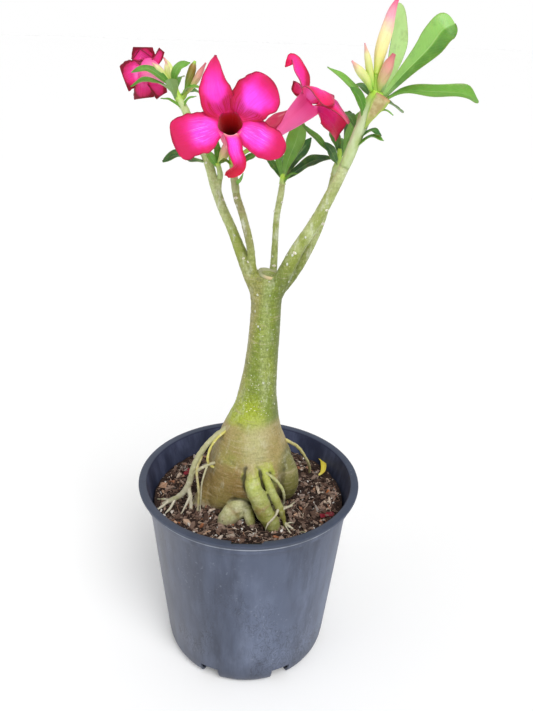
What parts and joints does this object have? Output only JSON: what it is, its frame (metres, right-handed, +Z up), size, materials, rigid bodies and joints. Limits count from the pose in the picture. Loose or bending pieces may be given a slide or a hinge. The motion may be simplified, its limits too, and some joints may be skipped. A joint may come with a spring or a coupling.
{
  "type": "potted desert rose",
  "caption": "Desert rose with a swollen base, bare branches, leafy tips, open trumpet flowers and buds, growing in a round plastic nursery pot.",
  "frame": {"origin": "centre of the pot's underside, on the surface that the pot stands on", "axes": "+Z up along the pot's axis; -Y towards the side that the picture shows; +X to that view's right"},
  "size_m": [0.2563, 0.2, 0.5753],
  "materials": {
    "pot_plastic": "satin",
    "potting_mix": "rough",
    "bark": "matt, waxy where green",
    "leaf": "satin",
    "petal": "soft satin",
    "petal_dark": "soft satin",
    "bud_green": "satin",
    "bud_pink": "satin",
    "bud_olive": "satin",
    "bud_dark": "satin",
    "fallen_leaf": "dry",
    "fallen_petal": "dry"
  },
  "bodies": {
    "root": {"pot": "pot_plastic", "potting_mix": "potting_mix", "plant_body": "bark", "flower_front": "petal", "flower_left": "petal_dark", "flower_side": "petal", "bud_right_large": "bud_green", "bud_right_1": "bud_green", "bud_right_2": "bud_green", "bud_right_3": "bud_pink", "buds_left_tip": "bud_green", "bud_left_olive": "bud_olive", "bud_left_pink": "bud_pink", "bud_twig": "bud_pink", "bud_flower_stem": "bud_dark", "leaves_left_tip": "leaf", "leaves_left_twig": "leaf", "leaf_left_side": "leaf", "leaves_flower_stem": "leaf", "leaves_centre": "leaf", "leaves_back_right": "leaf", "leaves_right": "leaf", "fallen_leaf": "fallen_leaf", "fallen_petal_front": "fallen_petal", "fallen_petal_left": "fallen_petal"}
  },
  "joints": []
}
